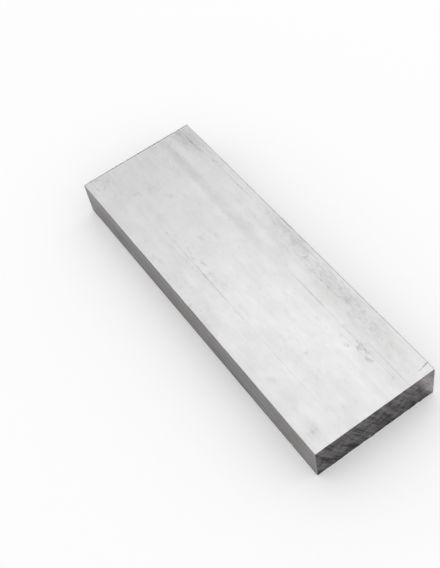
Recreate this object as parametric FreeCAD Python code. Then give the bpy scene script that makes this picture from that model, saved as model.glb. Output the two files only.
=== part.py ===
"""Aluminium flat bar: one piece of extruded 5/8 in x 2 in stock, sawn to a 6 in length.

Millimetres. +X runs along the bar, +Y across its width and +Z up through its thickness.
The origin is the centre of the broad face that the bar lies on.
"""

import os

import FreeCAD, Part

INCH = 25.4

# The stock's section, and the length it is sawn to
WIDTH = 2.0 * INCH
THICKNESS = 0.625 * INCH
LENGTH = 6.0 * INCH

# The die leaves a small radius on the four long edges, and the sharp edges of both saw cuts are broken
DIE_EDGE_RADIUS = 0.4
SAWN_EDGE_BREAK = 0.2

# How far an edge may lie from where it should be and still be picked out
PICK_TOLERANCE = 1e-6


def sharp_block():
    """The block that the bar fills, with no edge worked yet."""
    corner = FreeCAD.Vector(-LENGTH / 2, -WIDTH / 2, 0)
    return Part.makeBox(LENGTH, WIDTH, THICKNESS, corner)


def long_edges(block):
    """The edges that run the whole length of the bar."""
    return [
        edge
        for edge in block.Edges
        if abs(edge.BoundBox.XLength - LENGTH) < PICK_TOLERANCE
    ]


def sawn_edges(bar):
    """The edges that lie flat in the plane of either saw cut."""
    return [edge for edge in bar.Edges if edge.BoundBox.XLength < PICK_TOLERANCE]


def flat_bar():
    """The whole bar: its long edges as the die leaves them, and its saw cuts with their edges broken."""
    block = sharp_block()
    extruded = block.makeFillet(DIE_EDGE_RADIUS, long_edges(block))
    return extruded.makeChamfer(SAWN_EDGE_BREAK, sawn_edges(extruded))


def main():
    """Writes the bar's STEP file and prints its size."""
    os.makedirs("parts", exist_ok=True)
    bar = flat_bar()
    bar.exportStep("parts/flat_bar.step")
    box = bar.BoundBox
    print(
        f"flat_bar: {len(bar.Solids)} solid, {len(bar.Faces)} faces, valid {bar.isValid()}, "
        f"{box.XLength:.3f} x {box.YLength:.3f} x {box.ZLength:.3f} mm, "
        f"{bar.Volume / 1000:.3f} cm3"
    )


main()
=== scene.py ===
"""The finished look of a short aluminium flat bar, lying on a pale floor under soft studio light.

The bar is one piece of extruded stock: six faces that the die and the saw left in their own ways.
Metres. +X runs along the bar, +Y across its width and +Z up. The bar lies on the plane Z = 0.
"""

import logging
import math
from dataclasses import dataclass, field
from enum import Enum
from typing import Any, Union

import bpy
import numpy as np
from mathutils import Matrix, Vector


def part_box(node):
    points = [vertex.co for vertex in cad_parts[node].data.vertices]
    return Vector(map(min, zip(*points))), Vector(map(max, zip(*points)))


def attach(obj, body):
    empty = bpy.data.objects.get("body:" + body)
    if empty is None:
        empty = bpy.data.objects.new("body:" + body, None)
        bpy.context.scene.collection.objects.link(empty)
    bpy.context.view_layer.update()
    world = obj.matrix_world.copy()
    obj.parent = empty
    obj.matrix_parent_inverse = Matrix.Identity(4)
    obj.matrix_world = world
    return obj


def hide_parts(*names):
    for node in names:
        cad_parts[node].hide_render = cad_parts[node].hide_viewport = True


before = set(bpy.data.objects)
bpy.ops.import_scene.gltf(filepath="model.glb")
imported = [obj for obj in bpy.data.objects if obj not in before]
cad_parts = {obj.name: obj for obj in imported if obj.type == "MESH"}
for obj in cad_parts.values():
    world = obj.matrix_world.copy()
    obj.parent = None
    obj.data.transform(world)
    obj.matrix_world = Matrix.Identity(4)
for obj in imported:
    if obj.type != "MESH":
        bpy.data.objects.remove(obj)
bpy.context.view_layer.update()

MM = 0.001
CAD_NODE = "flat_bar"
BODY = "root"

# How far a seed shifts a noise along each axis, how rough its lumps are, and the middle of its range
SHIFT_WAYS = (1.0, 0.7, 1.3)
LUMP_ROUGHNESS = 0.55
NOISE_MIDDLE = 0.5

# A mark this many times as long as it is wide, or more, is a line
LINE_RATIO = 7

# A nick whose place is further out than this share of a half size lies on that face
EDGE_SHARE = 0.95

Number = Union["Value", float]
Triple = tuple[float, float, float]
Pair = tuple[float, float]

WHITE: Triple = (1.0, 1.0, 1.0)


class Face(Enum):
    """The six faces of the bar, in the order of their materials' slots."""

    TOP = 0
    BOTTOM = 1
    LEFT = 2
    RIGHT = 3
    NEAR_END = 4
    FAR_END = 5


# ---------------------------------------------------------------------------------------------
# Shader nodes
# ---------------------------------------------------------------------------------------------


@dataclass(frozen=True)
class Value:
    """A number that varies over a surface, with the arithmetic that the finishes use."""

    graph: "Graph"
    socket: bpy.types.NodeSocket

    def _math(self, operation: str, first: Number, second: Number = 0.0) -> "Value":
        """Adds one Math node to the graph."""
        return self.graph.value("ShaderNodeMath", {"operation": operation}, {0: first, 1: second})

    def __add__(self, other: Number) -> "Value":
        """Self plus other."""
        return self._math("ADD", self, other)

    def __radd__(self, other: Number) -> "Value":
        """Other plus self."""
        return self._math("ADD", other, self)

    def __sub__(self, other: Number) -> "Value":
        """Self minus other."""
        return self._math("SUBTRACT", self, other)

    def __rsub__(self, other: Number) -> "Value":
        """Other minus self."""
        return self._math("SUBTRACT", other, self)

    def __mul__(self, other: Number) -> "Value":
        """Self times other."""
        return self._math("MULTIPLY", self, other)

    def __rmul__(self, other: Number) -> "Value":
        """Other times self."""
        return self._math("MULTIPLY", other, self)

    def __pow__(self, other: Number) -> "Value":
        """Self to the power of other."""
        return self._math("POWER", self, other)

    def at_most(self, other: Number) -> "Value":
        """The smaller of self and other."""
        return self._math("MINIMUM", self, other)

    def at_least(self, other: Number) -> "Value":
        """The larger of self and other."""
        return self._math("MAXIMUM", self, other)

    def fade(self, start: float, end: float, first: float = 0.0, last: float = 1.0) -> "Value":
        """Goes smoothly from one number to another.

        Args:
            start: Where self leaves the first number.
            end: Where self reaches the last number.
            first: What the result is before start.
            last: What the result is after end.

        Returns:
            The faded value.
        """
        ends = {"Value": self, "From Min": start, "From Max": end, "To Min": first, "To Max": last}
        return self.graph.value("ShaderNodeMapRange", {"interpolation_type": "SMOOTHSTEP"}, ends)


@dataclass(frozen=True)
class Grain:
    """One noise: how long its lumps are along each axis, its shift, and its number of finer noises."""

    size: Triple
    shift: float = 0.0
    detail: float = 2.0


@dataclass(frozen=True)
class Graph:
    """The nodes of one material or world."""

    tree: bpy.types.NodeTree

    @classmethod
    def of(cls, owner: Union[bpy.types.Material, bpy.types.World]) -> "Graph":
        """Turns on the nodes of a material or world and empties them.

        Args:
            owner: The material or world.

        Returns:
            The empty graph.
        """
        owner.use_nodes = True
        owner.node_tree.nodes.clear()
        return cls(owner.node_tree)

    def node(self, kind: str, settings: dict[str, Any], sockets: dict[Any, Any]) -> bpy.types.Node:
        """Adds a node.

        Args:
            kind: The node's type.
            settings: What the node is set to, before its sockets are filled.
            sockets: A number, a colour, a Value or a socket for each input, by name or number.

        Returns:
            The new node.
        """
        made = self.tree.nodes.new(kind)
        for name, setting in settings.items():
            setattr(made, name, setting)
        for key, source in sockets.items():
            source = source.socket if isinstance(source, Value) else source
            if isinstance(source, bpy.types.NodeSocket):
                self.tree.links.new(source, made.inputs[key])
            else:
                made.inputs[key].default_value = source
        return made

    def value(self, kind: str, settings: dict[str, Any], sockets: dict[Any, Any]) -> Value:
        """Adds a node and gives its first output as a Value."""
        return Value(self, self.node(kind, settings, sockets).outputs[0])

    def place(self) -> bpy.types.NodeSocket:
        """Where the shaded point is, in metres on the bar."""
        return self.node("ShaderNodeTexCoord", {}, {}).outputs["Object"]

    def axes(self, place: bpy.types.NodeSocket) -> tuple[Value, Value, Value]:
        """The three coordinates of a place."""
        parts = self.node("ShaderNodeSeparateXYZ", {}, {0: place})
        return tuple(Value(self, output) for output in parts.outputs)

    def vector(self, x: Number, y: Number, z: Number) -> bpy.types.NodeSocket:
        """A vector made of three numbers."""
        return self.node("ShaderNodeCombineXYZ", {}, {0: x, 1: y, 2: z}).outputs[0]

    def stretched(self, place: bpy.types.NodeSocket, scale: Triple, shift: Triple) -> bpy.types.NodeSocket:
        """A place, scaled along each axis and then shifted."""
        settings = {"operation": "MULTIPLY_ADD"}
        return self.node("ShaderNodeVectorMath", settings, {0: place, 1: scale, 2: shift}).outputs[0]

    def noise(self, place: bpy.types.NodeSocket, grain: Grain, seed: float) -> Value:
        """Smooth random variation about zero, mostly within a quarter either way.

        Args:
            place: Where the noise is read.
            grain: The noise's size, shift and detail.
            seed: A further shift, which makes one face differ from the next.

        Returns:
            The variation.
        """
        scale = tuple(1.0 / size for size in grain.size)
        shift = tuple((seed + grain.shift) * way for way in SHIFT_WAYS)
        lumps = {
            "Vector": self.stretched(place, scale, shift),
            "Scale": 1.0,
            "Detail": grain.detail,
            "Roughness": LUMP_ROUGHNESS,
        }
        return self.value("ShaderNodeTexNoise", {}, lumps) - NOISE_MIDDLE

    def blended(self, first: Triple, second: Triple, share: Value) -> bpy.types.NodeSocket:
        """Two colours, mixed by a share of the second."""
        colours = {0: share, 6: (*first, 1.0), 7: (*second, 1.0)}
        return self.node("ShaderNodeMix", {"data_type": "RGBA"}, colours).outputs[2]

    def dimmed(self, colour: Union[bpy.types.NodeSocket, Triple], level: Value) -> bpy.types.NodeSocket:
        """A colour made darker or lighter by a level that is 1 where it stays."""
        settings = {"operation": "SCALE"}
        return self.node("ShaderNodeVectorMath", settings, {0: colour, "Scale": level}).outputs[0]

    def bumped(self, height: Value, strength: float, depth: float) -> bpy.types.NodeSocket:
        """The direction that a surface faces where a height stands it in and out."""
        sockets = {"Strength": strength, "Distance": depth, "Height": height}
        return self.node("ShaderNodeBump", {}, sockets).outputs[0]

    def finish(self, shader: bpy.types.NodeSocket, kind: str = "ShaderNodeOutputMaterial") -> None:
        """Ends the graph in an output."""
        self.node(kind, {}, {"Surface": shader})


# ---------------------------------------------------------------------------------------------
# Marks that the stock has picked up
# ---------------------------------------------------------------------------------------------


@dataclass(frozen=True)
class Mark:
    """A soft-edged mark on a face: a spot, or a line where one of its sizes is much the larger.

    Places are shares of the face, from the far end to the near one and from left to right.
    """

    along: float
    across: float
    half_length: float
    half_width: float
    tone: float

    @property
    def is_line(self) -> bool:
        """Whether the mark is a line, which stays straight, and not a spot, which is ragged."""
        sizes = (self.half_length, self.half_width)
        return max(sizes) > LINE_RATIO * min(sizes)

    def shade(self, graph: Graph, place: bpy.types.NodeSocket, face_size: Pair) -> Value:
        """How much this mark darkens each point.

        Args:
            graph: The nodes of the face's material.
            place: The point, with X along the face and Y across it.
            face_size: The face's length and width.

        Returns:
            The mark's tone in its middle, fading to nothing at its rim.
        """
        middle = ((self.along - 0.5) * face_size[0], (self.across - 0.5) * face_size[1])
        scale = (1.0 / self.half_length, 1.0 / self.half_width, 0.0)
        local = graph.stretched(place, scale, (-middle[0] * scale[0], -middle[1] * scale[1], 0.0))
        distance = graph.node("ShaderNodeVectorMath", {"operation": "LENGTH"}, {0: local})
        return Value(graph, distance.outputs["Value"]).fade(0.0, 1.0, self.tone, 0.0)


# Lines that the die drew along the top face, also cut as furrows in the mesh; their dark tone is painted
# shade in those furrows
DIE_LINES = (
    Mark(0.46, 0.246, 10 * MM, 0.38 * MM, 0.20),
    Mark(0.53, 0.245, 9 * MM, 0.38 * MM, 0.22),
    Mark(0.60, 0.247, 7 * MM, 0.36 * MM, 0.14),
    Mark(0.40, 0.247, 34 * MM, 0.44 * MM, 0.11),
    Mark(0.80, 0.247, 34 * MM, 0.44 * MM, 0.10),
    Mark(0.66, 0.744, 20 * MM, 0.44 * MM, 0.22),
    Mark(0.86, 0.745, 32 * MM, 0.44 * MM, 0.13),
    Mark(0.92, 0.765, 14 * MM, 0.34 * MM, 0.08),
    Mark(0.94, 0.790, 18 * MM, 0.36 * MM, 0.17),
    Mark(0.86, 0.700, 14 * MM, 0.34 * MM, 0.06),
    Mark(0.27, 0.938, 19 * MM, 0.38 * MM, 0.17),
    Mark(0.26, 0.954, 19 * MM, 0.36 * MM, -0.08),
    Mark(0.06, 0.912, 12 * MM, 0.60 * MM, 0.24),
    Mark(0.45, 0.845, 30 * MM, 0.34 * MM, 0.06),
    Mark(0.62, 0.870, 22 * MM, 0.30 * MM, 0.08),
    Mark(0.74, 0.825, 12 * MM, 0.30 * MM, 0.07),
    Mark(0.50, 0.080, 60 * MM, 0.30 * MM, 0.04),
)

# Broad soft bands and clouds where the face was rubbed or left dull, and three broad marks of painted
# light: a painted highlight over the nearer half, and painted shade over the far end and the near right
BANDS_AND_PAINTED_LIGHT = (
    # Painted highlight: a broad lightening over the nearer half
    Mark(0.62, 0.340, 60 * MM, 34.0 * MM, -0.060),
    # Painted shade: a broad darkening over the far end
    Mark(0.00, 0.550, 34 * MM, 60.0 * MM, 0.080),
    # Painted shade: a broad darkening over the near right, against the lamp's highlight there
    Mark(0.72, 1.000, 60 * MM, 17.0 * MM, 0.100),
    Mark(0.08, 0.745, 44 * MM, 2.6 * MM, 0.090),
    Mark(0.32, 0.730, 52 * MM, 3.6 * MM, 0.085),
    Mark(0.03, 0.890, 17 * MM, 6.0 * MM, 0.150),
    Mark(0.48, 0.970, 25 * MM, 4.4 * MM, 0.150),
    Mark(0.30, 0.990, 34 * MM, 2.6 * MM, 0.050),
    Mark(0.08, 0.960, 34 * MM, 7.0 * MM, 0.075),
    Mark(0.46, 0.930, 24 * MM, 7.0 * MM, 0.040),
    Mark(0.82, 0.800, 34 * MM, 4.0 * MM, 0.030),
    Mark(0.70, 0.900, 24 * MM, 4.4 * MM, 0.075),
    Mark(0.72, 0.615, 36 * MM, 4.4 * MM, -0.050),
    Mark(0.14, 0.420, 12 * MM, 5.0 * MM, 0.055),
    Mark(0.12, 0.140, 11 * MM, 5.5 * MM, 0.040),
    Mark(0.955, 0.115, 3.2 * MM, 4.2 * MM, 0.060),
    Mark(0.955, 0.370, 2.6 * MM, 3.4 * MM, 0.045),
)

# Small dark spots: nicks that hold dirt, and stains
SPOTS = (
    Mark(0.040, 0.065, 1.1 * MM, 1.1 * MM, 0.20),
    Mark(0.030, 0.170, 1.4 * MM, 1.3 * MM, 0.14),
    Mark(0.008, 0.100, 1.2 * MM, 1.6 * MM, 0.20),
    Mark(0.125, 0.290, 2.6 * MM, 1.3 * MM, 0.11),
    Mark(0.285, 0.250, 1.0 * MM, 0.8 * MM, 0.14),
    Mark(0.190, 0.480, 2.2 * MM, 1.7 * MM, 0.10),
    Mark(0.130, 0.400, 3.0 * MM, 2.2 * MM, 0.07),
    Mark(0.355, 0.420, 2.4 * MM, 1.4 * MM, 0.16),
    Mark(0.375, 0.530, 2.4 * MM, 1.3 * MM, 0.13),
    Mark(0.345, 0.060, 3.2 * MM, 1.9 * MM, 0.10),
    Mark(0.450, 0.050, 3.6 * MM, 1.3 * MM, 0.08),
    Mark(0.420, 0.300, 3.4 * MM, 1.2 * MM, 0.10),
    Mark(0.510, 0.315, 2.0 * MM, 1.1 * MM, 0.12),
    Mark(0.465, 0.295, 1.6 * MM, 1.0 * MM, 0.09),
    Mark(0.590, 0.290, 2.0 * MM, 1.2 * MM, 0.08),
    Mark(0.385, 0.850, 2.0 * MM, 1.2 * MM, 0.13),
    Mark(0.395, 0.780, 1.8 * MM, 1.0 * MM, 0.09),
    Mark(0.570, 0.910, 0.7 * MM, 1.5 * MM, 0.26),
    Mark(0.650, 0.865, 1.3 * MM, 1.0 * MM, 0.19),
    Mark(0.700, 0.925, 1.1 * MM, 0.9 * MM, 0.16),
    Mark(0.740, 0.900, 2.2 * MM, 1.8 * MM, 0.10),
    Mark(0.760, 0.640, 2.0 * MM, 1.2 * MM, 0.09),
    Mark(0.790, 0.420, 1.1 * MM, 1.2 * MM, 0.13),
    Mark(0.735, 0.405, 2.4 * MM, 1.6 * MM, 0.05),
    Mark(0.800, 0.120, 2.8 * MM, 1.7 * MM, 0.08),
    Mark(0.855, 0.722, 1.6 * MM, 1.0 * MM, 0.24),
    Mark(0.868, 0.738, 2.0 * MM, 0.8 * MM, 0.22),
    Mark(0.890, 0.708, 1.8 * MM, 1.1 * MM, 0.24),
    Mark(0.830, 0.665, 1.4 * MM, 1.0 * MM, 0.20),
    Mark(0.955, 0.090, 1.5 * MM, 2.2 * MM, 0.06),
)

# The maker's cut line, scribed square across the right-hand corner, and the cleaner metal beyond it
SCRIBED_LINE = (
    Mark(0.9775, 0.988, 0.27 * MM, 2.1 * MM, 0.70),
    Mark(0.9795, 0.955, 0.27 * MM, 2.0 * MM, 0.58),
    Mark(0.9815, 0.922, 0.27 * MM, 2.0 * MM, 0.40),
    Mark(0.991, 0.955, 0.90 * MM, 3.4 * MM, -0.05),
)

# Patches of the top where handling left a fine dark speckle
SPECKLED = (
    Mark(0.62, 0.920, 46 * MM, 5.5 * MM, 0.12),
    Mark(0.14, 0.950, 30 * MM, 4.0 * MM, 0.15),
    Mark(0.86, 0.725, 13 * MM, 3.4 * MM, 0.24),
    Mark(0.42, 0.270, 26 * MM, 5.0 * MM, 0.15),
    Mark(0.03, 0.110, 9 * MM, 7.0 * MM, 0.17),
    Mark(0.96, 0.120, 8 * MM, 5.0 * MM, 0.07),
    Mark(0.36, 0.480, 10 * MM, 5.0 * MM, 0.12),
    Mark(0.80, 0.880, 30 * MM, 5.0 * MM, 0.12),
    Mark(0.45, 0.040, 50 * MM, 3.0 * MM, 0.12),
)

# The speckle that covers the whole of a side
SIDE_SPECKLE = (Mark(0.50, 0.500, 220 * MM, 24 * MM, 0.09),)

# Painted light along the top face's rim: painted shade on its rounded edges, with painted highlights just
# inside them and along the edge of the near cut
PAINTED_RIM_LIGHT = (
    Mark(0.50, 1.000, 240 * MM, 0.60 * MM, 0.60),
    Mark(0.50, 0.983, 120 * MM, 0.45 * MM, -0.06),
    Mark(0.50, 0.000, 240 * MM, 0.50 * MM, 0.30),
    Mark(0.001, 0.50, 0.65 * MM, 60 * MM, 0.80),
    Mark(0.007, 0.50, 0.50 * MM, 60 * MM, -0.05),
    Mark(1.001, 0.50, 0.50 * MM, 60 * MM, -0.10),
)

# The drawn sides: painted shade in a thin dark line under the top edge and along the foot, and a few spots
# and bands
SIDE_MARKS_AND_PAINTED_SHADE = (
    # Painted shade under the rounded top edge
    Mark(0.50, 0.990, 300 * MM, 0.90 * MM, 0.50),
    # Painted shade along the foot, where the side meets the floor
    Mark(0.50, 0.030, 140 * MM, 1.60 * MM, 0.38),
    Mark(0.62, 0.300, 9 * MM, 3.6 * MM, 0.16),
    Mark(0.17, 0.400, 12 * MM, 5.0 * MM, 0.14),
    Mark(0.70, 0.120, 20 * MM, 2.6 * MM, 0.22),
    Mark(0.40, 0.620, 26 * MM, 1.2 * MM, -0.14),
    Mark(0.97, 0.500, 6 * MM, 9.0 * MM, -0.10),
)

# Painted shade on both sawn ends: a dark foot, and a dark line where the top face begins
END_PAINTED_SHADE = (
    Mark(0.00, 0.400, 3.6 * MM, 60 * MM, 0.70),
    Mark(0.97, 0.400, 1.1 * MM, 60 * MM, 0.30),
)

# The near end alone: lighter towards the right-hand edge and at a spot low on the right, deep scores and
# smears across the cut
END_MARKS = (
    Mark(0.50, 1.000, 30 * MM, 8.0 * MM, -1.65),
    Mark(0.22, 0.935, 6 * MM, 4.2 * MM, -1.90),
    Mark(0.60, 0.060, 9 * MM, 5.0 * MM, 0.30),
    Mark(0.40, 0.585, 4.4 * MM, 1.00 * MM, 1.30),
    Mark(0.30, 0.690, 3.4 * MM, 0.80 * MM, 0.90),
    Mark(0.62, 0.350, 3.6 * MM, 0.80 * MM, 0.80),
    Mark(0.55, 0.075, 5.0 * MM, 1.10 * MM, 0.90),
    Mark(0.70, 0.450, 3.0 * MM, 0.90 * MM, -0.90),
    Mark(0.07, 0.540, 1.1 * MM, 0.7 * MM, -2.20),
    Mark(0.09, 0.360, 1.8 * MM, 0.9 * MM, -1.90),
    Mark(0.12, 0.460, 1.8 * MM, 1.3 * MM, -0.50),
    Mark(0.06, 0.745, 1.6 * MM, 1.8 * MM, 0.30),
)


# ---------------------------------------------------------------------------------------------
# Finishes
# ---------------------------------------------------------------------------------------------


@dataclass(frozen=True)
class MillSkin:
    """The skin of a face that the die drew: pale, streaked along the bar and a little clouded."""

    name: str
    clean: Triple
    cloudy: Triple
    roughness: float
    streaks: float
    clouds: float
    seed: float
    grazing: float = 1.0
    marks: tuple[Mark, ...] = ()
    speckled: tuple[Mark, ...] = ()
    face_size: Pair = (1.0, 1.0)
    upright: bool = False

    # The noises: hairlines, broad streaks, clouds, scuffs, breaks in the marks, and speckle
    hairlines: Grain = Grain((40 * MM, 0.34 * MM, 0.34 * MM), 0.0, 3.0)
    broad_streaks: Grain = Grain((130 * MM, 2.6 * MM, 2.6 * MM), 3.1)
    cloud_lumps: Grain = Grain((10 * MM, 6.5 * MM, 6.5 * MM), 7.7, 4.0)
    scuffs: Grain = Grain((3.0 * MM, 1.6 * MM, 1.6 * MM), 11.3, 4.0)
    breaks: Grain = Grain((4.5 * MM, 0.9 * MM, 0.9 * MM), 17.9, 3.0)
    speckle: Grain = Grain((1.9 * MM, 0.8 * MM, 0.8 * MM), 23.7, 3.0)

    # Where specks and speckle begin and are whole, in their noises
    speck_onset: Pair = (0.11, 0.24)
    speckle_onset: Pair = (-0.02, 0.18)

    # How much each noise darkens the metal, tints it, dulls it and lifts it
    fine_tone: float = 0.10
    drawn_tone: float = 0.14
    cloud_tone: float = 0.20
    scuff_tone: float = 0.10
    speck_tone: float = 0.07
    cloud_tint: float = 2.4
    drawn_tint: float = 1.5
    even_tint: float = 0.5
    cloud_dulling: float = 0.10
    drawn_dulling: float = 0.06
    tone_dulling: float = 0.15
    fine_height: float = 0.4
    drawn_height: float = 0.5
    scuff_height: float = 0.5
    speck_height: float = 0.4
    bump_strength: float = 0.35
    bump_depth: float = 0.04 * MM

    # How far lines and spots stray from their shapes, and how evenly a mark shows
    line_stray: float = 0.20 * MM
    spot_stray: Pair = (5.0 * MM, 3.2 * MM)
    mark_unevenness: float = 2.4
    mark_level: float = 0.9

    def material(self) -> bpy.types.Material:
        """Builds the material.

        Returns:
            The new material.
        """
        made = bpy.data.materials.new(self.name)
        graph = Graph.of(made)
        place = graph.place()
        fine = graph.noise(place, self.hairlines, self.seed)
        drawn = graph.noise(place, self.broad_streaks, self.seed)
        cloud = graph.noise(place, self.cloud_lumps, self.seed)
        scuff = graph.noise(place, self.scuffs, self.seed)
        specks = scuff.fade(*self.speck_onset)
        tone = fine * (self.fine_tone * self.streaks) + drawn * (self.drawn_tone * self.streaks)
        tone = tone + cloud * (self.cloud_tone * self.clouds) + scuff * (self.scuff_tone * self.clouds)
        tone = tone + specks * (self.speck_tone * self.clouds)
        tone = self._with_marks(graph, place, scuff, tone)
        share = cloud * self.cloud_tint + drawn * self.drawn_tint + self.even_tint
        tint = graph.blended(self.clean, self.cloudy, share.at_least(0.0).at_most(1.0))
        dulling = cloud * self.cloud_dulling + drawn * self.drawn_dulling + tone * self.tone_dulling
        height = fine * self.fine_height + drawn * self.drawn_height
        height = height + scuff * self.scuff_height - specks * self.speck_height
        surface = graph.node(
            "ShaderNodeBsdfPrincipled",
            {},
            {
                "Base Color": graph.dimmed(tint, 1.0 - tone),
                "Metallic": 1.0,
                "Roughness": dulling + self.roughness,
                "Specular Tint": (self.grazing, self.grazing, self.grazing, 1.0),
                "Normal": graph.bumped(height, self.bump_strength, self.bump_depth),
            },
        )
        graph.finish(surface.outputs[0])
        return made

    def _with_marks(
        self, graph: Graph, place: bpy.types.NodeSocket, scuff: Value, tone: Value
    ) -> Value:
        """Adds the marks to the face's tone.

        Args:
            graph: The nodes of the face's material.
            place: Where the shaded point is.
            scuff: The noise that breaks the marks up.
            tone: The tone so far.

        Returns:
            The tone with the marks.
        """
        if not self.marks:
            return tone
        x, y, z = graph.axes(place)
        across = z - self.face_size[1] / 2 if self.upright else y
        along_stray, across_stray = self.spot_stray
        straight = graph.vector(x + scuff * self.line_stray, across + scuff * self.line_stray, 0.0)
        strayed = graph.vector(x + scuff * along_stray, across + scuff * across_stray, 0.0)
        chopped = graph.noise(place, self.breaks, self.seed)
        for mark in self.marks:
            read_at = straight if mark.is_line else strayed
            level = chopped * self.mark_unevenness + self.mark_level
            tone = tone + mark.shade(graph, read_at, self.face_size) * level
        speckle = graph.noise(place, self.speckle, self.seed).fade(*self.speckle_onset)
        for patch in self.speckled:
            tone = tone + patch.shade(graph, strayed, self.face_size) * speckle
        return tone


@dataclass(frozen=True)
class SawPath:
    """The arcs that the saw's teeth cut across an end, each the same and stepped along the width.

    The blade's centre is above the bar, so the arcs lean and curve more towards the bottom.
    """

    blade_radius: float = 125 * MM
    centre_above: float = 72 * MM

    def offset(self, height: Union[np.ndarray, float]) -> Union[np.ndarray, float]:
        """How far along the width an arc has moved at a height, from where the blade is widest."""
        return -np.sqrt(self.blade_radius**2 - (height - self.centre_above) ** 2)

    def sweep(self, y: Value, height: Value) -> Value:
        """The same arcs in a material: a value that is constant along each arc."""
        drop = height - self.centre_above
        return y + (self.blade_radius**2 - drop * drop) ** 0.5


@dataclass(frozen=True)
class SawnSkin:
    """The skin of a sawn end: darker, partly as its own rougher metal and partly as painted shade, with
    the scratches of the teeth in curved, leaning bands.
    """

    name: str
    clean: Triple
    dull: Triple
    roughness: float
    seed: float
    path: SawPath
    marks: tuple[Mark, ...] = ()
    face_size: Pair = (1.0, 1.0)

    # The noises: bands and scratches along the arcs, whose sizes are across them and up, and patches
    bands: Grain = Grain((3.4 * MM, 22 * MM, 1.0), 0.0, 2.0)
    scratches: Grain = Grain((0.62 * MM, 7 * MM, 1.0), 2.3, 4.0)
    patches: Grain = Grain((3.2 * MM, 3.2 * MM, 2.8 * MM), 5.9, 3.0)

    # Where the deep cuts begin and are whole, in the scratches' noise
    cut_onset: Pair = (0.05, 0.14)

    # How much each noise darkens the metal, tints it, dulls it and lifts it
    band_tone: float = 2.5
    scratch_tone: float = 2.4
    patch_tone: float = 2.2
    cut_tone: float = 0.38
    darkest: float = 0.15
    patch_tint: float = 2.0
    even_tint: float = 0.5
    patch_dulling: float = 0.2
    band_dulling: float = 0.15
    band_height: float = 0.8
    bump_strength: float = 0.5
    bump_depth: float = 0.10 * MM

    def material(self) -> bpy.types.Material:
        """Builds the material.

        Returns:
            The new material.
        """
        made = bpy.data.materials.new(self.name)
        graph = Graph.of(made)
        place = graph.place()
        _, y, z = graph.axes(place)
        sweep = self.path.sweep(y, z)
        arcs = graph.vector(sweep, z, 0.0)
        band = graph.noise(arcs, self.bands, self.seed)
        scratch = graph.noise(arcs, self.scratches, self.seed)
        patch = graph.noise(place, self.patches, self.seed)
        cuts = scratch.fade(*self.cut_onset)
        tone = band * self.band_tone + scratch * self.scratch_tone
        tone = tone + patch * self.patch_tone + cuts * self.cut_tone
        middle = float(self.path.offset(self.face_size[0] / 2))
        flat = graph.vector(z - self.face_size[0] / 2, sweep + middle, 0.0)
        for mark in self.marks:
            tone = tone + mark.shade(graph, flat, self.face_size)
        share = (patch * self.patch_tint + self.even_tint).at_least(0.0).at_most(1.0)
        tint = graph.blended(self.clean, self.dull, share)
        dulling = patch * self.patch_dulling + band * self.band_dulling
        height = scratch + band * self.band_height
        surface = graph.node(
            "ShaderNodeBsdfPrincipled",
            {},
            {
                "Base Color": graph.dimmed(tint, (1.0 - tone).at_least(self.darkest)),
                "Metallic": 1.0,
                "Roughness": dulling + self.roughness,
                "Normal": graph.bumped(height, self.bump_strength, self.bump_depth),
            },
        )
        graph.finish(surface.outputs[0])
        return made


# ---------------------------------------------------------------------------------------------
# The bar's shape
# ---------------------------------------------------------------------------------------------


@dataclass(frozen=True)
class Nick:
    """A dent in an edge or corner, knocked in along a direction.

    The place is in shares of the bar's half sizes, from -1 to 1 along each axis.
    """

    place: Triple
    reach: float
    depth: float
    falloff: float = 1.5

    def press(self, points: np.ndarray, half: np.ndarray) -> np.ndarray:
        """Pushes the points near the nick towards the bar's inside.

        Args:
            points: Points on the bar, from its centre.
            half: The bar's half sizes.

        Returns:
            The moved points.
        """
        middle = np.array(self.place) * half
        outward = np.where(np.abs(self.place) > EDGE_SHARE, np.sign(self.place), 0.0)
        outward = outward / np.linalg.norm(outward)
        distance = np.linalg.norm(points - middle, axis=1)
        nearness = np.clip(1.0 - (distance / self.reach) ** 2, 0.0, 1.0)
        push = self.depth * nearness**self.falloff
        return points - push[:, None] * outward


# Dents and burrs (a negative depth stands out) on the edges and corners
NICKS = (
    Nick((1.0, 1.0, 1.0), 1.1 * MM, 0.22 * MM),
    Nick((0.62, 1.0, 1.0), 0.9 * MM, 0.16 * MM),
    Nick((0.14, 1.0, 1.0), 1.1 * MM, 0.14 * MM),
    Nick((-0.41, 1.0, 1.0), 0.8 * MM, 0.12 * MM),
    Nick((-1.0, -0.96, 1.0), 1.2 * MM, 0.20 * MM),
    Nick((-1.0, -0.62, 1.0), 0.9 * MM, 0.12 * MM),
    Nick((-1.0, 0.76, 1.0), 1.2 * MM, 0.14 * MM),
    Nick((-0.52, -1.0, 1.0), 0.8 * MM, 0.10 * MM),
    Nick((0.33, -1.0, 1.0), 1.0 * MM, 0.12 * MM),
    Nick((0.81, -1.0, -1.0), 0.9 * MM, 0.14 * MM),
    Nick((1.0, -0.08, -1.0), 0.8 * MM, -0.08 * MM),
    Nick((1.0, 0.25, -1.0), 0.7 * MM, -0.10 * MM),
    Nick((1.0, 0.71, -1.0), 1.0 * MM, 0.16 * MM),
    Nick((1.0, -0.30, 1.0), 0.8 * MM, 0.08 * MM),
    Nick((-1.0, 0.30, -1.0), 1.0 * MM, 0.15 * MM),
)


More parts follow.
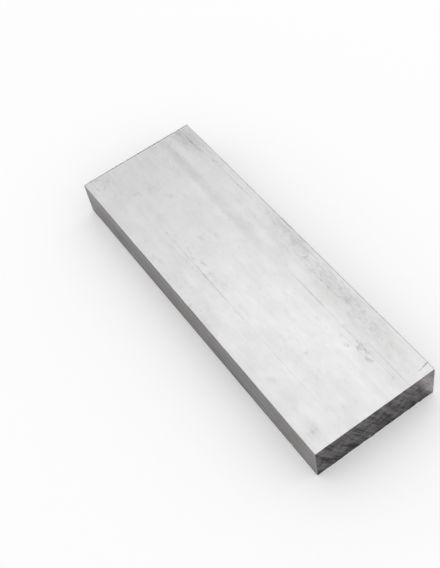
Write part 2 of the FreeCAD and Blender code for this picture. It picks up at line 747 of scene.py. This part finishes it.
@dataclass
class BarSurface:
    """The bar's closed surface: a fine lattice on a box, rounded at its edges and then worn."""

    low: Vector
    high: Vector
    saw: SawPath
    seed: int = 41
    die_radius: float = 0.40 * MM
    sawn_radius: float = 0.20 * MM
    edge_steps: int = 3
    cross_spacing: float = 0.31 * MM
    long_spacing: float = 2.0 * MM
    end_spacing: float = 0.40 * MM
    end_zone: float = 3.6 * MM
    least_gap: float = 0.09 * MM
    map_gap: float = 1.4 * MM

    # Where the lattice has lines about a nick, in shares of its reach
    nick_lines: tuple[float, ...] = (0.0, -0.4, 0.4, -0.8, 0.8)

    # Waves of the drawn faces, across and along: how far apart their heights are, and how high
    cross_wave: Pair = (2.3 * MM, 0.003 * MM)
    long_wave: Pair = (9.0 * MM, 0.012 * MM)

    # The saw's marks: broad and narrow waves, then single furrows
    broad_saw_wave: Pair = (2.4 * MM, 0.035 * MM)
    narrow_saw_wave: Pair = (0.8 * MM, 0.020 * MM)
    furrow_spacing: float = 1.7 * MM
    furrow_stray: float = 0.6
    furrow_half_widths: Pair = (0.22, 0.50)
    furrow_depth: float = 0.030 * MM

    # The die's furrows: how deep one of tone 1 is, and how much wider it is than its line
    die_depth: float = 0.09 * MM
    die_spread: float = 1.3

    # The ragged edge of a cut: its wave, and how much faster that runs along the width than upwards
    burr_wave: Pair = (0.45 * MM, 0.05 * MM)
    burr_slant: float = 1.7

    # How squarely a point must face outwards to be on a face, near one, on the top, or on a cut's edge
    squarely: float = 0.999
    mostly: float = 0.6
    upwards: float = 0.9
    edgewise: float = 0.1

    half: np.ndarray = field(init=False)
    radii: np.ndarray = field(init=False)
    centre: np.ndarray = field(init=False)
    random: np.random.Generator = field(init=False)

    def __post_init__(self) -> None:
        """Works out the half sizes and the edge radii along X, Y and Z."""
        self.half = (np.array(self.high) - np.array(self.low)) / 2
        self.centre = (np.array(self.high) + np.array(self.low)) / 2
        self.radii = np.array([self.sawn_radius, self.die_radius, self.die_radius])
        self.random = np.random.default_rng(self.seed)

    def _axis_lines(self, axis: int, wanted: list[float]) -> np.ndarray:
        """The places of the lattice's lines along one axis.

        Args:
            axis: 0, 1 or 2 for X, Y or Z.
            wanted: Places inside the edges' radii, the most needed first.

        Returns:
            The places in order, with the steps round both edges.
        """
        inner = self.half[axis] - self.radii[axis]
        turn = np.tan(np.linspace(0.0, math.pi / 4, self.edge_steps + 1)) * self.radii[axis]
        kept = list(inner + turn) + list(-inner - turn)
        for place in wanted:
            if abs(place) < inner and min(abs(place - other) for other in kept) >= self.least_gap:
                kept.append(place)
        return np.array(sorted(kept))

    def _even(self, half: float, spacing: float) -> list[float]:
        """Evenly spaced places from -half to half."""
        return list(np.linspace(-half, half, math.ceil(2 * half / spacing) + 1))

    def _lines(self) -> list[np.ndarray]:
        """Places the lattice's lines, closer together where there is more to show.

        Returns:
            The places along X, Y and Z.
        """
        length, width, thickness = self.half
        steps = np.arange(self.end_spacing, self.end_zone, self.end_spacing)
        along = [side * (length - step) for step in steps for side in (-1, 1)]
        for nick in NICKS:
            if abs(nick.place[0]) < EDGE_SHARE:
                middle = nick.place[0] * length
                along += [middle + nick.reach * share for share in self.nick_lines]
        along += self._even(length - self.end_zone, self.long_spacing)
        across = []
        for line in DIE_LINES:
            middle = (line.across * 2 - 1) * width
            across += [middle, middle - line.half_width / 2, middle + line.half_width / 2]
        across += self._even(width, self.cross_spacing)
        return [
            self._axis_lines(0, along),
            self._axis_lines(1, across),
            self._axis_lines(2, self._even(thickness, self.cross_spacing)),
        ]

    def _rounded(self, points: np.ndarray) -> tuple[np.ndarray, np.ndarray]:
        """Rounds the box's edges.

        Args:
            points: Points on the sharp box, from its centre.

        Returns:
            The rounded points and their outward directions.
        """
        core = self.half - self.radii
        inside = np.clip(points, -core, core)
        outward = (points - inside) / self.radii
        outward = outward / np.linalg.norm(outward, axis=1)[:, None]
        return inside + outward * self.radii, outward

    def _ripple(self, places: np.ndarray, spacing: float, size: float) -> np.ndarray:
        """A smooth random wave along a line.

        Args:
            places: Where it is read.
            spacing: How far apart its random heights are.
            size: How high they can be.

        Returns:
            The height at each place.
        """
        knots = np.arange(places.min() - spacing, places.max() + 2 * spacing, spacing)
        return np.interp(places, knots, self.random.uniform(-size, size, len(knots)))

    def _saw_relief(self, points: np.ndarray) -> np.ndarray:
        """The furrows of the saw's teeth.

        Args:
            points: Points on an end, from the bar's centre.

        Returns:
            How far each point stands out, or in where it is negative.
        """
        height = points[:, 2] + self.centre[2]
        sweep = points[:, 1] - self.saw.offset(height)
        relief = self._ripple(sweep, *self.broad_saw_wave) + self._ripple(sweep, *self.narrow_saw_wave)
        for middle in np.arange(sweep.min(), sweep.max(), self.furrow_spacing):
            middle += self.random.uniform(-self.furrow_stray, self.furrow_stray) * MM
            half_width = self.random.uniform(*self.furrow_half_widths) * MM
            depth = self.random.exponential(self.furrow_depth)
            relief -= depth * np.exp(-(((sweep - middle) / half_width) ** 2))
        return relief

    def _die_relief(self, points: np.ndarray) -> np.ndarray:
        """The furrows that the die's lines are.

        Args:
            points: Points on the top face, from the bar's centre.

        Returns:
            How far each point stands out, or in where it is negative.
        """
        share = points[:, :2] / (2 * self.half[:2]) + 0.5
        relief = np.zeros(len(points))
        for line in DIE_LINES:
            away = (share - (line.along, line.across)) * 2 * self.half[:2]
            furrow_width = self.die_spread * line.half_width
            reach = np.hypot(away[:, 0] / line.half_length, away[:, 1] / furrow_width)
            relief -= self.die_depth * line.tone * np.clip(1.0 - reach**2, 0.0, 1.0)
        return relief

    def _worn(self, sharp: np.ndarray) -> np.ndarray:
        """Rounds the box and gives every face and edge its relief.

        Args:
            sharp: Points on the sharp box, from its centre.

        Returns:
            The points of the worn bar.
        """
        points, outward = self._rounded(sharp)
        waves = np.zeros(len(points))
        flat = np.max(np.abs(outward), axis=1) > self.squarely
        for axis, other in ((1, 2), (2, 1)):
            for side in (-1, 1):
                face = outward[:, axis] * side > self.mostly
                waves[face] += self._ripple(sharp[face, other], *self.cross_wave)
                waves[face] += self._ripple(sharp[face, 0], *self.long_wave)
        for side in (-1, 1):
            end = outward[:, 0] * side > self.mostly
            waves[end] += self._saw_relief(sharp[end])
        top = flat & (outward[:, 2] > self.upwards)
        waves[top] += self._die_relief(sharp[top])
        points = points + outward * waves[:, None]
        burred = (np.abs(outward[:, 0]) > self.edgewise) & ~flat
        around = sharp[burred, 1] * self.burr_slant + sharp[burred, 2]
        ragged = self._ripple(around, *self.burr_wave)
        points[burred] += outward[burred] * ragged[:, None]
        for nick in NICKS:
            points = nick.press(points, self.half)
        return points

    def _quads(self, ids: np.ndarray, face: Face) -> np.ndarray:
        """The four corners of each cell of a face, in order round its outside.

        Args:
            ids: The number of each of the face's points, in rows.
            face: Which face it is.

        Returns:
            Four numbers for each cell.
        """
        cells = np.stack([ids[:-1, :-1], ids[1:, :-1], ids[1:, 1:], ids[:-1, 1:]], axis=-1)
        turned = face in (Face.BOTTOM, Face.RIGHT, Face.FAR_END)
        return cells.reshape(-1, 4)[:, ::-1] if turned else cells.reshape(-1, 4)

    def build(self) -> bpy.types.Mesh:
        """Builds the mesh, with each face's cells under that face's material number.

        Returns:
            The mesh.
        """
        lines = self._lines()
        counts = [len(line) for line in lines]
        shell = np.ones(counts, bool)
        shell[1:-1, 1:-1, 1:-1] = False
        ids = np.full(counts, -1)
        ids[shell] = np.arange(shell.sum())
        sharp = np.stack([lines[axis][index] for axis, index in enumerate(np.nonzero(shell))], axis=-1)
        rows = {
            Face.TOP: ids[:, :, -1],
            Face.BOTTOM: ids[:, :, 0],
            Face.LEFT: ids[:, 0, :],
            Face.RIGHT: ids[:, -1, :],
            Face.NEAR_END: ids[-1, :, :],
            Face.FAR_END: ids[0, :, :],
        }
        quads = {face: self._quads(grid, face) for face, grid in rows.items()}
        mesh = bpy.data.meshes.new("sawn_flat_bar")
        points = self._worn(sharp) + self.centre
        mesh.from_pydata(points.tolist(), [], np.concatenate(list(quads.values())).tolist())
        numbers = np.concatenate([np.full(len(cells), face.value) for face, cells in quads.items()])
        mesh.polygons.foreach_set("material_index", numbers.astype(np.int32))
        mesh.polygons.foreach_set("use_smooth", np.ones(len(numbers), bool))
        self._lay_out(mesh, sharp, quads)
        mesh.update()
        return mesh

    def _lay_out(self, mesh: bpy.types.Mesh, sharp: np.ndarray, quads: dict[Face, np.ndarray]) -> None:
        """Lays the six faces out flat, side by side in one square, as the bar's texture map.

        Args:
            mesh: The mesh that takes the map.
            sharp: Each point's place on the sharp box.
            quads: The cells of each face, in the order in which the mesh has them.
        """
        length, width, thickness = self.half * 2
        gap = self.map_gap
        corners = {
            Face.TOP: (0, 1, gap, gap),
            Face.BOTTOM: (0, 1, gap, 2 * gap + width),
            Face.LEFT: (0, 2, gap, 3 * gap + 2 * width),
            Face.RIGHT: (0, 2, gap, 4 * gap + 2 * width + thickness),
            Face.NEAR_END: (1, 2, gap, 5 * gap + 2 * width + 2 * thickness),
            Face.FAR_END: (1, 2, 2 * gap + width, 5 * gap + 2 * width + 2 * thickness),
        }
        side = max(length + 2 * gap, 6 * gap + 2 * width + 3 * thickness)
        flat = []
        for face, cells in quads.items():
            first, second, left, bottom = corners[face]
            place = sharp[cells.ravel()][:, [first, second]] + self.half[[first, second]]
            flat.append((place + (left, bottom)) / side)
        layer = mesh.uv_layers.new(name="OFBake")
        layer.uv.foreach_set("vector", np.concatenate(flat).ravel().astype(np.float32))


@dataclass
class SawnBar:
    """The whole bar: its surface, dressed face by face."""

    low: Vector
    high: Vector
    saw: SawPath = SawPath()

    def _side_skin(self, name: str, seed: float, face_size: Pair) -> MillSkin:
        """The finish of a long side: the die skin, with its colours and grazing tint set darker as painted
        shade.

        Args:
            name: The material's name.
            seed: What makes its marks differ from the other side's.
            face_size: The side's length and height.

        Returns:
            The finish.
        """
        return MillSkin(
            name,
            # Painted shade: these colours and the grazing tint are darker than the top's, standing in for
            # the shade on the sides
            clean=(0.456, 0.456, 0.453),
            cloudy=(0.437, 0.408, 0.409),
            roughness=0.34,
            streaks=3.4,
            clouds=1.1,
            seed=seed,
            grazing=0.45,
            marks=SIDE_MARKS_AND_PAINTED_SHADE,
            speckled=SIDE_SPECKLE,
            face_size=face_size,
            upright=True,
        )

    def _end_skin(self, name: str, seed: float, marks: tuple[Mark, ...], face_size: Pair) -> SawnSkin:
        """The finish of a sawn end.

        Args:
            name: The material's name.
            seed: What makes its scratches differ from the other end's.
            marks: What marks it has.
            face_size: The end's height and width.

        Returns:
            The finish.
        """
        return SawnSkin(
            name,
            # Partly painted shade: sawn metal is darker than the drawn faces, and these colours are set
            # darker still to stand in for the shade on the ends
            clean=(0.111, 0.101, 0.104),
            dull=(0.078, 0.077, 0.076),
            roughness=0.44,
            seed=seed,
            path=self.saw,
            marks=marks,
            face_size=face_size,
        )

    def skins(self) -> dict[Face, Union[MillSkin, SawnSkin]]:
        """Chooses the finish of each face.

        Returns:
            The finishes, in the order of the materials' slots.
        """
        length, width, thickness = self.high - self.low
        pale, clouded = (0.665, 0.664, 0.670), (0.654, 0.650, 0.647)
        broad, narrow, sawn = (length, width), (length, thickness), (thickness, width)
        top = MillSkin(
            "top_die_skin_and_painted_light",
            pale,
            clouded,
            roughness=0.33,
            streaks=0.38,
            clouds=0.9,
            seed=0.0,
            marks=BANDS_AND_PAINTED_LIGHT + DIE_LINES + SPOTS + SCRIBED_LINE + PAINTED_RIM_LIGHT,
            speckled=SPECKLED,
            face_size=broad,
        )
        bottom = MillSkin(
            "bottom_die_skin", pale, clouded, roughness=0.36, streaks=0.9, clouds=1.2, seed=21.0
        )
        return {
            Face.TOP: top,
            Face.BOTTOM: bottom,
            Face.LEFT: self._side_skin("left_die_skin_painted_shade", 37.0, narrow),
            Face.RIGHT: self._side_skin("right_die_skin_painted_shade", 53.0, narrow),
            Face.NEAR_END: self._end_skin("near_sawn_skin_and_painted_shade", 5.0, END_PAINTED_SHADE + END_MARKS, sawn),
            Face.FAR_END: self._end_skin("far_sawn_skin_and_painted_shade", 9.0, END_PAINTED_SHADE, sawn),
        }

    def build(self) -> bpy.types.Object:
        """Builds the bar, dresses it and puts it in the CAD bar's place.

        Returns:
            The dressed bar.
        """
        mesh = BarSurface(self.low, self.high, self.saw).build()
        for face, skin in self.skins().items():
            assert len(mesh.materials) == face.value
            mesh.materials.append(skin.material())
        bar = bpy.data.objects.new("sawn_flat_bar", mesh)
        bpy.context.scene.collection.objects.link(bar)
        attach(bar, BODY)
        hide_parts(CAD_NODE)
        return bar


# ---------------------------------------------------------------------------------------------
# The studio
# ---------------------------------------------------------------------------------------------


@dataclass(frozen=True)
class Studio:
    """A pale floor and soft light from above and behind the bar."""

    floor_half: float = 3.0
    floor_drop: float = 0.02 * MM
    floor_colour: Triple = (0.92, 0.92, 0.92)
    floor_roughness: float = 0.9
    floor_glow: float = 0.09
    far_glow: float = 1.0
    glow_reach: Pair = (0.25, 1.60)
    ambient: float = 0.91
    key_power: float = 2.7
    key_size: float = 1.80
    key_distance: float = 1.60
    key_direction: Triple = (-0.12, 0.56, 0.80)

    def _floor_material(self) -> bpy.types.Material:
        """Mixes the floor's paint, with a glow that only the eye, reflections and glass see.

        Returns:
            The material, whose glow grows with the distance from the bar.
        """
        made = bpy.data.materials.new("pale_floor")
        made.cycles.emission_sampling = "NONE"
        graph = Graph.of(made)
        away = graph.node("ShaderNodeVectorMath", {"operation": "LENGTH"}, {0: graph.place()})
        distance = Value(graph, away.outputs["Value"])
        glow = distance.fade(*self.glow_reach, self.floor_glow, self.far_glow)
        surface = graph.node(
            "ShaderNodeBsdfPrincipled",
            {},
            {
                "Base Color": (*self.floor_colour, 1.0),
                "Roughness": self.floor_roughness,
                "Specular IOR Level": 0.0,
                "Emission Color": graph.dimmed(WHITE, glow * self._seen(graph)),
                "Emission Strength": 1.0,
            },
        )
        graph.finish(surface.outputs[0])
        return made

    def _seen(self, graph: Graph) -> Value:
        """Tells the rays that the eye sees from those that light the bar.

        Args:
            graph: The nodes that ask.

        Returns:
            1 on rays seen directly, in a reflection or through glass, and 0 on all others.
        """
        rays = graph.node("ShaderNodeLightPath", {}, {}).outputs
        camera, glossy, through = (
            Value(graph, rays[name])
            for name in ("Is Camera Ray", "Is Glossy Ray", "Is Transmission Ray")
        )
        return camera.at_least(glossy).at_least(through)

    def build_floor(self) -> bpy.types.Object:
        """Builds the floor, a hair under the bar.

        Returns:
            The floor.
        """
        reach = self.floor_half
        corners = [(-reach, -reach), (reach, -reach), (reach, reach), (-reach, reach)]
        mesh = bpy.data.meshes.new("floor")
        mesh.from_pydata([(x, y, -self.floor_drop) for x, y in corners], [], [(0, 1, 2, 3)])
        mesh.materials.append(self._floor_material())
        floor = bpy.data.objects.new("floor", mesh)
        bpy.context.scene.collection.objects.link(floor)
        return floor

    def build_world(self) -> bpy.types.World:
        """Surrounds the bar with white, a little dimmer as it lights the bar than as it is seen.

        Returns:
            The world.
        """
        world = bpy.data.worlds.new("studio")
        bpy.context.scene.world = world
        world.cycles.sampling_method = "NONE"
        graph = Graph.of(world)
        strength = self._seen(graph) * (1.0 - self.ambient) + self.ambient
        sky = {"Color": (*WHITE, 1.0), "Strength": strength}
        background = graph.node("ShaderNodeBackground", {}, sky)
        graph.finish(background.outputs[0], "ShaderNodeOutputWorld")
        return world

    def build_key(self, target: Vector) -> bpy.types.Object:
        """Hangs the large soft lamp above and behind the bar, facing it.

        Args:
            target: The bar's middle.

        Returns:
            The lamp.
        """
        lamp = bpy.data.lights.new("key_lamp", "AREA")
        lamp.shape = "SQUARE"
        lamp.size = self.key_size
        lamp.energy = self.key_power
        key = bpy.data.objects.new("key_lamp", lamp)
        towards = Vector(self.key_direction).normalized()
        key.location = target + towards * self.key_distance
        key.rotation_euler = towards.to_track_quat("Z", "Y").to_euler()
        bpy.context.scene.collection.objects.link(key)
        return key


@dataclass(frozen=True)
class Viewpoint:
    """The camera: where it stands about the bar, in degrees, and how it is held."""

    azimuth: float = 66.11
    elevation: float = 53.61
    roll: float = -13.20
    distance: float = 0.37353
    lens: float = 62.83
    target: Pair = (-4.86 * MM, -8.22 * MM)
    nearest: float = 0.01

    def build(self, height: float) -> bpy.types.Object:
        """Places the camera.

        Args:
            height: How high the point that it looks at is.

        Returns:
            The scene's camera.
        """
        azimuth, elevation, roll = map(math.radians, (self.azimuth, self.elevation, self.roll))
        back = Vector(
            (
                math.sin(azimuth) * math.cos(elevation),
                -math.cos(azimuth) * math.cos(elevation),
                math.sin(elevation),
            )
        )
        right = (-back).cross(Vector((0, 0, 1))).normalized()
        up = right.cross(-back)
        side = right * math.cos(roll) + up * math.sin(roll)
        rise = up * math.cos(roll) - right * math.sin(roll)
        place = Vector((*self.target, height)) + back * self.distance
        lens = bpy.data.cameras.new("camera")
        lens.lens = self.lens
        lens.clip_start = self.nearest
        camera = bpy.data.objects.new("camera", lens)
        turn = Matrix((side, rise, back)).transposed().to_4x4()
        camera.matrix_world = Matrix.Translation(place) @ turn
        bpy.context.scene.collection.objects.link(camera)
        bpy.context.scene.camera = camera
        return camera


def main() -> None:
    """Builds the bar, the studio and the camera."""
    logging.basicConfig(level=logging.INFO, format="%(message)s")
    low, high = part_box(CAD_NODE)
    middle = (low + high) / 2
    Viewpoint().build(middle.z)
    bar = SawnBar(low, high).build()
    logging.info("%s: %d faces in its mesh", bar.name, len(bar.data.polygons))
    studio = Studio()
    studio.build_floor()
    studio.build_world()
    studio.build_key(middle)
    bpy.context.scene.view_settings.view_transform = "Standard"


if __name__ == "__main__":
    main()
